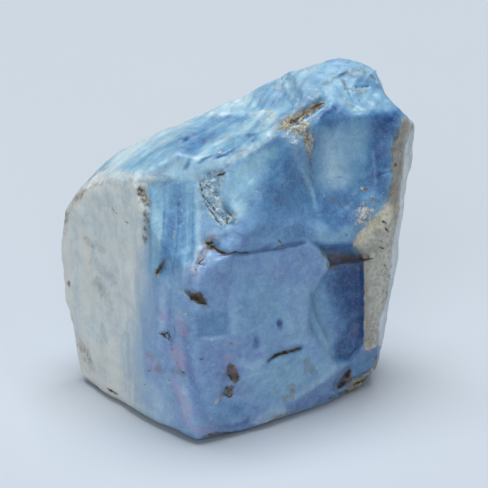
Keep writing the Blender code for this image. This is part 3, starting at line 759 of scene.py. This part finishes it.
def shell_scars(surface):
    """Depth in mm of the deepest scar at each place, the share of its hollow, and that scar's number."""
    random = np.random.default_rng(17)
    unseen = np.flatnonzero(surface.shown < 0.2)
    depth = np.zeros(len(surface.mm))
    share = np.zeros(len(surface.mm))
    number = np.full(len(surface.mm), 0.5)
    bend = np.stack([noise(surface.mm, 0.45, seed) for seed in (161, 163, 165)], axis=1)
    bent = surface.mm + 0.35 * bend
    for centre in surface.mm[random.choice(unseen, SCARS)]:
        reach = random.uniform(*SCAR_REACH)
        deepest = SCAR_SLOPE * reach * random.uniform(0.3, 0.6)
        hollow = 1.0 - ((bent - centre) ** 2).sum(axis=1) / reach ** 2
        deeper = deepest * hollow > depth
        depth[deeper] = deepest * hollow[deeper]
        share[deeper] = hollow[deeper]
        number[deeper] = random.random()
    return depth, share, number


def hidden_rules(surface):
    """The fields of the sides that the photograph doesn't show."""
    mm = surface.mm
    clouds = rich_noise(mm, 0.16, 51)
    wisps = rich_noise(mm, (0.5, 0.5, 0.3), 61)
    edge = smoothstep(0.05, 0.30, surface.bulge)
    blotches = rich_noise(mm, 0.33, 55)
    rind_depth = surface.under_rind + 0.35 * clouds + 0.15 * wisps
    outward = surface.normals @ np.array(SKIN_FACING)
    skin = smoothstep(0.50, 0.72, outward + 0.12 * wisps)
    layer = surface.under_skin + 0.9 * clouds + 0.5 * wisps
    tan = smoothstep(3.4, 2.6, layer) * (1.0 - skin)
    tan = np.maximum(tan, skin * smoothstep(0.25, 0.5, clouds + 0.5 * wisps))
    tone = 0.58 + 0.34 * clouds + 0.14 * wisps + 0.10 * blotches + 0.34 * (surface.scar_number - 0.5)
    bands = np.interp(rind_depth, BAND_DEPTHS, BAND_TONES)
    tone = blend(bands, tone, smoothstep(3.6, 6.5, rind_depth))
    top = smoothstep(0.45, 0.75, surface.normals[:, 2])
    # Painted light: upward-facing places on the unseen sides get a lighter tone
    tone = blend(tone, 0.38 + 0.14 * wisps, top)
    return {
        "tone": tone - 0.16 * edge - 0.12 * smoothstep(0.10, 0.0, surface.scar_share),
        "lavender": 0.25 + 0.5 * smoothstep(-0.1, 0.4, clouds),
        "white": smoothstep(1.35, 0.85, rind_depth),
        "tan": tan * (1.0 - top),
        "skin": skin * (1.0 - top),
    }


def blue_fields(surface, hidden):
    """Tone and lavender of the blue opal."""
    tone = np.full(len(surface.mm), 0.5)
    lavender = np.full(len(surface.mm), 0.3)
    for outline, softness, dark, purple in BLUE_AREAS.values():
        share = patch(surface.swayed, outline, softness)
        tone = blend(tone, dark, share)
        lavender = blend(lavender, purple, share)
    top = patch(surface.swayed, TOP, 3) * smoothstep(0.25, 0.6, surface.normals[:, 2])
    rough = smoothstep(150, 215, surface.pixels[:, 0])
    tone += top * (0.10 + 0.16 * rough) * rich_noise(surface.streaked, (1.0, 0.14, 0.3), 71)
    tone += top * (0.06 + 0.16 * rough) * rich_noise(surface.streaked, (1.9, 0.55, 0.8), 73)
    for line, half_width, softness, change in sum(BLUE_LINES.values(), []):
        near, away, passed = near_line(surface.quivering, line, half_width + softness)
        fade = np.sqrt(np.sin(math.pi * np.clip(passed, 0.03, 0.97)))
        tone[near] += change * fade * smoothstep(half_width + softness, 0.3 * half_width, away)
    bands = rich_noise(surface.mm, (1.5, 1.5, 0.08), 75)
    tone += 0.10 * bands * patch(surface.swayed, BLUE_AREAS["stripes"][0], 8)
    tone -= 0.20 * smoothstep(0.05, 0.26, surface.bulge)
    # Painted shade: hollow places are darkened
    tone += 0.10 * smoothstep(0.05, 0.25, -surface.bulge)
    return {
        "tone": np.clip(surface.on_picture(tone, hidden["tone"]), 0.0, 1.0),
        "lavender": surface.on_picture(lavender, hidden["lavender"]),
    }


def layer_fields(surface, hidden):
    """White rind, tan host rock and grey-white skin."""
    columns, rows = surface.swayed.T
    border_columns, border_rows = zip(*WHITE_BORDER)
    across = columns - np.interp(rows, border_rows, border_columns)
    spread = np.interp(rows, FADE_ROWS, FADE_PIXELS)
    white = patch(surface.swayed, WHITE_FACE, 3) * smoothstep(0.7, -1.5, across / spread)
    for outline, softness, share in FAINT_WHITES:
        white = np.maximum(white, share * patch(surface.swayed, outline, softness))
    skin = patch(surface.quivering, SKIN, 2.5)
    hosts = [patch(surface.quivering, outline, 2.5) for outline in (WEDGE, FOOT_BLOCK, FOOT_RIDGE)]
    tan = np.maximum.reduce([skin, *hosts, patch(surface.quivering, RIM, 2.2)])
    # The wedge's paler part, partly painted light
    pale = patch(surface.quivering, WEDGE_PALE_AND_LIT, 2.5)
    fields = {"white": white, "tan": tan, "skin": skin}
    fields = {name: surface.on_picture(values, hidden[name]) for name, values in fields.items()}
    return fields | {"pale": surface.on_picture(pale, 0.5)}


def mark_fields(surface):
    """Marks of the photograph, and scattered ones of their kind on the sides that it doesn't show."""
    swayed = surface.swayed
    quivering = surface.quivering
    fields = {name: mark(quivering, surface.ragged, lines) for name, lines in MARKS.items()}
    fields |= {name: smudge(quivering, surface.ragged, lines) for name, lines in SMUDGES.items()}

    def add(name, *others):
        fields[name] = np.maximum.reduce([fields[name], *others])

    speckled = depth_in_patch(swayed, SPECKLED)
    crevice = depth_in_patch(quivering, CREVICE)
    ridge = depth_in_patch(quivering, FOOT_RIDGE)
    add("frost_and_highlight", speckled / 9.0 - 0.1, np.clip(surface.bulge / 0.25 - 0.95, -1.0, 0.3))
    add("gold", np.minimum(crevice / 4.0 + 0.2, 0.7), speckled / 14.0 - 0.3)
    add("gold", np.minimum(ridge / 2.5 - 0.2, 0.0))
    add("stain_and_shade", np.minimum(crevice / 4.0 - 0.3, -0.12))
    for outline, strength in PITS:
        add("stain_and_shade", np.minimum(depth_in_patch(quivering, outline) / 2.5 + 0.15, strength))
    for name, (waves, seed, strength, base) in SCATTERED.items():
        scattered = rich_noise(surface.mm, waves, seed) * strength + base
        if name == "frost_and_highlight":
            scattered += 4.0 * np.maximum(surface.bulge, 0.0)
        fields[name] = np.clip(surface.on_picture(fields[name], scattered), -1.0, 1.0)
    crushed = np.maximum.reduce([
        depth_in_patch(swayed, CRUSHED),
        depth_in_patch(swayed, CRUSHED_LOW) - 3.0,
        depth_in_patch(swayed, CRUSHED_HOLLOW),
        2.0 - distance_to_line(swayed, CRUSHED_RIDGE)[0],
    ])
    rough_top = patch(swayed, TOP, 6) * smoothstep(180, 250, surface.pixels[:, 0])
    flaky = 0.36 * rough_top + 0.18 * patch(swayed, BLUE_AREAS["knob"][0], 6)
    fields["crushed"] = surface.shown * np.maximum(smoothstep(-4.0, 5.0, crushed), flaky)
    hidden = 1.0 - surface.shown
    cracks = np.abs(surface.fissures)
    add("stain_and_shade", 1.3 * hidden * smoothstep(0.022, 0.0, cracks) - 1.0)
    add("frost_and_highlight", hidden * smoothstep(0.09, 0.03, cracks) - 0.7)
    return fields


def relief(surface, fields):
    """How far each vertex moves along its normal, and along the camera's sight, in mm."""
    mm = surface.mm
    shown = surface.shown
    top = smoothstep(0.35, 0.7, surface.normals[:, 2])
    crushed = np.maximum(fields["crushed"], 0.5 * smoothstep(-0.6, 0.3, fields["frost_and_highlight"]) * shown)
    crevice = patch(surface.swayed, CREVICE, 3) * shown
    hem = smoothstep(12.0, 3.0, distance_to_line(surface.swayed, HEM)[0]) * shown
    host = np.maximum(fields["tan"], 0.3 * fields["skin"])
    out = 0.050 * rich_noise(mm, 0.42, 101) + 0.018 * noise(mm, 1.3, 105)
    streaks = ridges(surface.streaked, (1.15, 0.13, 0.35), 107) - 0.5
    fine_streaks = ridges(surface.streaked, (2.2, 0.3, 0.5), 108) - 0.5
    out += top * (0.16 * streaks + 0.08 * fine_streaks + 0.04 * noise(mm, 1.7, 109))
    out += crushed * (0.20 * noise(mm, 1.2, 111) + 0.14 * noise(mm, 2.4, 113))
    out += crevice * (0.16 * noise(mm, 2.3, 115) + 0.14 * noise(mm, 1.2, 116))
    out += hem * (0.16 * noise(mm, 0.9, 137) + 0.10 * noise(mm, 2.1, 139))
    out += host * (0.06 * noise(mm, 1.4, 117) + 0.06 * noise(mm, 2.6, 119))
    out += fields["white"] * 0.035 * rich_noise(mm, (1.0, 1.0, 0.14), 121)
    out += fields["white"] * 0.020 * noise(mm, 2.2, 125)
    broken = surface.deep * (1.0 - 0.75 * fields["skin"]) * (1.0 - 0.5 * fields["white"])
    bent = mm + 1.8 * rich_noise(mm, 0.2, 131)[:, None]
    steps = ridges(bent, (0.22, 0.22, 0.30), 133) + 0.5 * ridges(bent, (0.6, 0.6, 0.8), 134) - 0.75
    out += broken * (0.26 * steps + 0.10 * rich_noise(mm, 0.9, 135))
    out -= surface.deep * (1.0 - 0.6 * np.maximum(fields["skin"], fields["white"])) * surface.scar_depth
    out -= surface.deep * 0.22 * smoothstep(0.030, 0.0, np.abs(surface.fissures))
    out -= (1.0 - shown) * 0.30 * smoothstep(-0.2, 0.8, fields["dark"])
    inward = 0.12 * smoothstep(-0.1, 0.9, fields["dark"]) * shown
    for line, half_width, depth in CUTS:
        near, away, _ = near_line(surface.quivering, line, half_width)
        inward[near] = np.maximum(inward[near], depth * smoothstep(half_width, 0.0, away) * shown[near])
    for outline, reach, depth in DISHES.values():
        inward += depth * smoothstep(0.0, reach, depth_in_patch(surface.swayed, outline)) * shown
    foot = smoothstep(0.15, 1.2, mm[:, 2])
    return out * foot, inward * foot


def write_field(mesh, name, values):
    field = mesh.attributes.new(name, "FLOAT", "POINT")
    field.data.foreach_set("value", np.ascontiguousarray(values, np.float32))


def dressed(stone):
    """Gives the stone its relief and its fields."""
    mesh = stone.data
    surface = Surface(mesh)
    hidden = hidden_rules(surface)
    fields = blue_fields(surface, hidden) | layer_fields(surface, hidden) | mark_fields(surface)
    out, inward = relief(surface, fields)
    places = surface.places + (surface.normals * out[:, None] + surface.sight * inward[:, None]) * MM
    filling = np.maximum(patch(surface.quivering, CREVICE, 3), patch(surface.quivering, CREASE, 4))
    filling *= FILLED_SHARE * surface.shown
    places += filling[:, None] * (surface.filled - surface.places)
    columns, rows = surface.pixels.T
    push = np.interp(rows, OUTLINE_ROWS, OUTLINE_PUSH) * smoothstep(368, 388, columns)
    places[:, 0] += push * smoothstep(-0.2, 0.6, surface.normals[:, 0]) * MM
    push = np.interp(rows, LEFT_ROWS, LEFT_PUSH) * smoothstep(92, 74, columns)
    places[:, 0] -= push * smoothstep(0.2, -0.5, surface.normals[:, 0]) * MM
    low = np.clip(1.0 - surface.mm[:, 2] / FOOT_HEIGHT, 0.0, 1.0) ** 2
    worn = FOOT_NARROWING * (0.8 + 1.1 * rich_noise(surface.mm, (0.28, 0.28, 0.1), 171))
    places[:, :2] *= 1.0 - (worn * low)[:, None]
    places[:, 2] = np.maximum(places[:, 2], 0.0)
    mesh.vertices.foreach_set("co", places.ravel())
    mesh.update()
    for name, values in fields.items():
        write_field(mesh, name, values)


# Material

def shade(red, green, blue):
    """A colour in Blender's linear numbers from its 8-bit numbers."""
    channels = [value / 255 for value in (red, green, blue)]
    return tuple(c / 12.92 if c <= 0.04045 else ((c + 0.055) / 1.055) ** 2.4 for c in channels)


# Colours by their place on a ramp
SKY_BLUES = {
    0.00: (220, 234, 236), 0.17: (188, 216, 227), 0.33: (154, 197, 217), 0.50: (123, 172, 203),
    0.67: (95, 146, 188), 0.83: (66, 112, 162), 1.00: (30, 70, 122),
}
LAVENDERS = {
    0.00: (226, 232, 242), 0.17: (200, 214, 236), 0.33: (170, 194, 228), 0.50: (141, 170, 214),
    0.67: (113, 143, 192), 0.83: (90, 118, 168), 1.00: (54, 76, 120),
}
RIND_WHITES = {
    0.28: (182, 198, 203), 0.42: (206, 217, 218), 0.56: (222, 229, 226), 0.74: (234, 235, 226),
}
WARM = shade(231, 228, 220)
HOST_TANS = {
    0.25: (150, 142, 124), 0.42: (182, 179, 166), 0.58: (202, 201, 193), 0.78: (216, 217, 214),
}
PALE_TANS = {0.30: (196, 187, 160), 0.50: (222, 217, 196), 0.70: (236, 233, 218)}
SKIN_GREYS = {0.30: (210, 219, 226), 0.50: (230, 236, 240), 0.70: (240, 243, 245)}
FROST_AND_HIGHLIGHT_COLOURS = {0.25: (96, 120, 150), 0.45: (160, 184, 206), 0.62: (220, 228, 230)}
FLAKES = {
    0.20: (46, 54, 62), 0.34: (92, 122, 152), 0.48: (132, 166, 192), 0.62: (174, 198, 208),
    0.78: (226, 230, 222),
}
GOLDS = {0.25: (84, 72, 50), 0.45: (140, 126, 96), 0.60: (186, 176, 146), 0.75: (222, 216, 196)}
STAIN_AND_SHADE_BROWNS = {0.25: (58, 44, 32), 0.50: (118, 90, 62), 0.75: (166, 140, 108)}
DARKS = {0.30: (36, 30, 25), 0.50: (66, 54, 40), 0.70: (112, 94, 66)}
PINKS = {0.35: (176, 150, 196), 0.65: (206, 150, 172)}
GREY = shade(116, 112, 98)
PALE_FROST = shade(*FROST_AND_HIGHLIGHT_COLOURS[0.62])


class Graph:
    """Short ways to add the nodes of one material."""

    def __init__(self, name):
        self.material = bpy.data.materials.new(name)
        self.material.use_nodes = True
        self.tree = self.material.node_tree
        self.shader = self.tree.nodes["Principled BSDF"].inputs
        self.mm = self.vector("MULTIPLY", self.node("TexCoord").outputs["Object"], (1 / MM,) * 3)

    def plug(self, socket, value):
        if isinstance(value, bpy.types.NodeSocket):
            self.tree.links.new(value, socket)
        elif isinstance(value, tuple) and len(value) == 3 and len(socket.default_value) == 4:
            socket.default_value = (*value, 1.0)
        else:
            socket.default_value = value

    def node(self, kind, inputs=None, **settings):
        """A node with these settings, and a value or a link on these inputs."""
        node = self.tree.nodes.new("ShaderNode" + kind)
        for name, value in settings.items():
            setattr(node, name, value)
        for name, value in (inputs or {}).items():
            self.plug(node.inputs[name], value)
        return node

    def vector(self, operation, first, second):
        return self.node("VectorMath", {0: first, 1: second}, operation=operation).outputs[0]

    def math(self, operation, first, second):
        return self.node("Math", {0: first, 1: second}, operation=operation).outputs[0]

    def plus(self, first, second):
        return self.math("ADD", first, second)

    def minus(self, first, second):
        return self.math("SUBTRACT", first, second)

    def times(self, first, second):
        return self.math("MULTIPLY", first, second)

    def most(self, first, second):
        return self.math("MAXIMUM", first, second)

    def field(self, name):
        return self.node("Attribute", attribute_name=name).outputs["Fac"]

    def noise(self, waves, detail, roughness, distortion=0.0, stretch=(1, 1, 1)):
        """Noise around 0.5, with this many waves for each millimetre."""
        inputs = {"Scale": waves, "Detail": detail, "Roughness": roughness, "Distortion": distortion}
        inputs["Vector"] = self.vector("MULTIPLY", self.mm, stretch)
        return self.node("TexNoise", inputs).outputs["Fac"]

    def cells(self, waves, warp):
        """A number for each of many crooked grains, with this many grains for each millimetre."""
        bend = self.node("TexNoise", {"Vector": self.mm, "Scale": waves})
        bent = self.vector("ADD", self.mm, self.vector("MULTIPLY", bend.outputs["Color"], (warp,) * 3))
        return self.plus(self.node("TexVoronoi", {"Vector": bent, "Scale": waves}).outputs["Color"], 0.0)

    def wavering(self, value, *waves):
        """The value, moved up and down by noises, each of which is followed by its strength."""
        for noise, strength in zip(waves[::2], waves[1::2]):
            value = self.plus(value, self.times(self.minus(noise, 0.5), strength))
        return value

    def step(self, value, low, high):
        inputs = {"Value": value, "From Min": low, "From Max": high}
        return self.node("MapRange", inputs, interpolation_type="SMOOTHSTEP").outputs["Result"]

    def line(self, noise, width):
        """1 where a noise passes its middle, falling to 0 at this distance from it."""
        return self.step(self.math("ABSOLUTE", self.minus(noise, 0.5), 0.0), width, 0.0)

    def ramp(self, value, colours):
        node = self.node("ValToRGB", {"Fac": value})
        elements = node.color_ramp.elements
        for _ in range(len(colours) - 2):
            elements.new(0.5)
        for element, (position, colour) in zip(elements, colours.items()):
            element.position = position
            element.color = (*shade(*colour), 1.0)
        return node.outputs["Color"]

    def mix(self, share, first, second):
        inputs = {"Factor": share, "A": first, "B": second}
        return self.node("Mix", inputs, data_type="RGBA").outputs["Result"]

    def bump(self, height, strength, distance):
        inputs = {"Height": height, "Strength": strength, "Distance": distance}
        return self.node("Bump", inputs).outputs["Normal"]


def opal_material():
    """Blue opal with its rind, host rock and marks."""
    g = Graph("blue_opal")
    clouds = g.noise(0.42, 4.0, 0.6, 1.2)
    mottle = g.noise(1.5, 5.0, 0.65, 0.8)
    grain = g.noise(6.5, 3.0, 0.6)
    grit = g.noise(2.6, 5.0, 0.75)
    fibres = g.noise(0.9, 4.0, 0.6, 0.4, (1.0, 1.0, 0.12))
    tone = g.wavering(g.field("tone"), clouds, 0.36, mottle, 0.46, grain, 0.24)
    lavender = g.times(g.field("lavender"), g.wavering(1.0, clouds, 2.4))
    colour = g.mix(lavender, g.ramp(tone, SKY_BLUES), g.ramp(tone, LAVENDERS))
    veins = g.line(g.noise(0.55, 5.0, 0.7, 1.6), 0.022)
    colour = g.mix(g.times(veins, 0.10), colour, PALE_FROST)
    splits = g.line(g.noise(1.9, 3.0, 0.6, 2.0), 0.045)
    flakes = g.wavering(0.56, grit, 1.9, mottle, 1.1, g.cells(2.6, 0.8), 0.22)
    flakes = g.minus(flakes, g.times(splits, 0.24))
    crushed = g.times(g.minus(g.field("crushed"), 0.60), 2.4)
    crushed = g.step(g.wavering(crushed, grit, 3.6, mottle, 4.4), -0.7, 1.5)
    colour = g.mix(g.times(crushed, 0.78), colour, g.ramp(flakes, FLAKES))
    flecks = g.step(g.noise(4.2, 2.0, 0.5), 0.70, 0.76)
    colour = g.mix(g.times(flecks, 0.45), colour, PALE_FROST)
    # Whitish crushed specks and edges, and the painted highlight line along the skin's edge
    frost_and_highlight = g.step(g.wavering(g.field("frost_and_highlight"), grit, 2.6, mottle, 2.2), -0.25, 0.85)
    colour = g.mix(g.times(frost_and_highlight, 0.72), colour, g.ramp(g.wavering(grit, grain, 0.5), FROST_AND_HIGHLIGHT_COLOURS))
    white = g.times(g.field("white"), 1.3)
    white = g.step(g.wavering(white, fibres, 0.7, mottle, 0.5), 0.05, 0.95)
    rind = g.wavering(0.5, clouds, 0.7, fibres, 0.35, mottle, 0.45)
    colour = g.mix(white, colour, g.ramp(rind, RIND_WHITES))
    warm = g.step(g.wavering(g.field("warm"), mottle, 1.6), -0.8, 1.0)
    colour = g.mix(g.times(warm, g.times(white, 0.75)), colour, WARM)
    pink = g.step(g.wavering(g.field("pink"), mottle, 2.6, grit, 2.0), -0.9, 1.3)
    pink = g.times(pink, g.wavering(0.50, white, -0.4))
    colour = g.mix(pink, colour, g.ramp(grit, PINKS))
    tan = g.step(g.wavering(g.field("tan"), mottle, 0.9, grit, 0.4), 0.30, 0.70)
    stone_grain = g.wavering(0.5, grit, 1.4, fibres, 0.5, clouds, 0.5)
    # Pale tan of the wedge, partly painted light
    host = g.mix(g.field("pale"), g.ramp(stone_grain, HOST_TANS), g.ramp(stone_grain, PALE_TANS))
    colour = g.mix(tan, colour, host)
    skin = g.step(g.wavering(g.field("skin"), mottle, 0.5), 0.25, 0.75)
    colour = g.mix(skin, colour, g.ramp(g.wavering(fibres, grit, 0.4), SKIN_GREYS))
    # Faint grey marks, and painted shade on the foot block and along the bottom outline
    faint_and_shade = g.step(g.wavering(g.field("faint_and_shade"), grit, 2.2, mottle, 1.8), -0.6, 1.1)
    colour = g.mix(g.times(faint_and_shade, 0.5), colour, GREY)
    gold = g.step(g.wavering(g.field("gold"), grit, 2.8, mottle, 1.6), -0.25, 0.75)
    colour = g.mix(g.times(gold, 0.85), colour, g.ramp(g.wavering(0.54, grit, 2.2, grain, 0.8), GOLDS))
    # Brown stains, and painted shade on the foot block and along the bottom outline
    stain_and_shade = g.step(g.wavering(g.field("stain_and_shade"), grit, 2.2, mottle, 1.9), -0.3, 0.95)
    colour = g.mix(g.times(stain_and_shade, 0.85), colour, g.ramp(g.wavering(grit, grain, 0.6), STAIN_AND_SHADE_BROWNS))
    # Dark pits and cracks, and painted contact shadow along the bottom outline and under the foot block
    dark = g.step(g.wavering(g.field("dark"), grit, 2.0, mottle, 1.6), -0.1, 0.7)
    colour = g.mix(g.times(dark, 0.92), colour, g.ramp(grit, DARKS))
    earthy = g.most(tan, g.most(gold, stain_and_shade))
    broken = g.most(frost_and_highlight, crushed)
    rough = g.plus(0.40, g.times(earthy, 0.35))
    rough = g.plus(rough, g.times(broken, 0.18))
    rough = g.plus(rough, g.times(white, 0.10))
    height = g.plus(g.times(grit, 0.6), g.times(grain, 0.25))
    height = g.times(height, g.plus(0.22, g.times(g.most(earthy, broken), 1.3)))
    g.plug(g.shader["Base Color"], colour)
    g.plug(g.shader["Roughness"], g.wavering(rough, mottle, 0.40))
    g.plug(g.shader["Normal"], g.bump(height, 0.9, 0.12 * MM))
    g.shader["IOR"].default_value = 1.45
    g.shader["Specular IOR Level"].default_value = 0.5
    g.shader["Subsurface Weight"].default_value = 0.2
    g.shader["Subsurface Radius"].default_value = (0.5, 0.75, 1.0)
    g.shader["Subsurface Scale"].default_value = 0.8 * MM
    return g.material


stone = refined(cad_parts["opal"])
dressed(stone)
stone.data.materials.append(opal_material())
stone.data.shade_smooth()
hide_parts("opal")
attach(stone, "root")


# Floor, light and camera

FLOOR_HALF = 1.2
FLOOR_COLOURS = ((0.558, 0.605, 0.662), (0.578, 0.628, 0.686))
WORLD_COLOUR = (0.88, 0.94, 1.0, 1.0)
WORLD_STRENGTH = 0.05
# Softboxes: place and size in metres, and power in watts
SOFTBOXES = {
    "top": ((-0.03, 0.13, 1.30), (1.00, 0.90), 19.5),
    "front": ((-0.20, -1.30, 0.70), (1.00, 0.80), 7.0),
}
SOFTBOX_COLOUR = (0.95, 0.975, 1.0)
LIT_PLACE = Vector((0.0, 0.0, 0.01))


def floor_material():
    g = Graph("floor")
    g.plug(g.shader["Base Color"], g.mix(g.noise(0.02, 3.0, 0.5), *FLOOR_COLOURS))
    g.shader["Roughness"].default_value = 0.85
    g.shader["Specular IOR Level"].default_value = 0.2
    return g.material


def make_floor():
    mesh = bpy.data.meshes.new("floor")
    ways = [(-1, -1), (1, -1), (1, 1), (-1, 1)]
    corners = [(FLOOR_HALF * x, FLOOR_HALF * y, 0) for x, y in ways]
    mesh.from_pydata(corners, [], [(0, 1, 2, 3)])
    floor = bpy.data.objects.new("floor", mesh)
    bpy.context.scene.collection.objects.link(floor)
    mesh.materials.append(floor_material())


def make_softbox(name, place, size, power):
    light = bpy.data.lights.new(name, "AREA")
    light.shape = "RECTANGLE"
    light.size, light.size_y = size
    light.energy = power
    light.color = SOFTBOX_COLOUR
    box = bpy.data.objects.new(name, light)
    box.location = place
    box.rotation_euler = (LIT_PLACE - Vector(place)).to_track_quat("-Z", "Y").to_euler()
    bpy.context.scene.collection.objects.link(box)


def make_light():
    world = bpy.data.worlds.new("studio")
    bpy.context.scene.world = world
    world.use_nodes = True
    background = world.node_tree.nodes["Background"].inputs
    background["Color"].default_value = WORLD_COLOUR
    background["Strength"].default_value = WORLD_STRENGTH
    for name, settings in SOFTBOXES.items():
        make_softbox(name, *settings)


def make_camera():
    camera = bpy.data.objects.new("camera", bpy.data.cameras.new("camera"))
    bpy.context.scene.collection.objects.link(camera)
    camera.location = EYE
    camera.rotation_euler = AHEAD.to_track_quat("-Z", "Y").to_euler()
    camera.data.lens = LENS
    camera.data.sensor_width = SENSOR
    camera.data.clip_start = 0.01
    bpy.context.scene.camera = camera


make_floor()
make_light()
make_camera()
bpy.context.scene.view_settings.view_transform = "Standard"
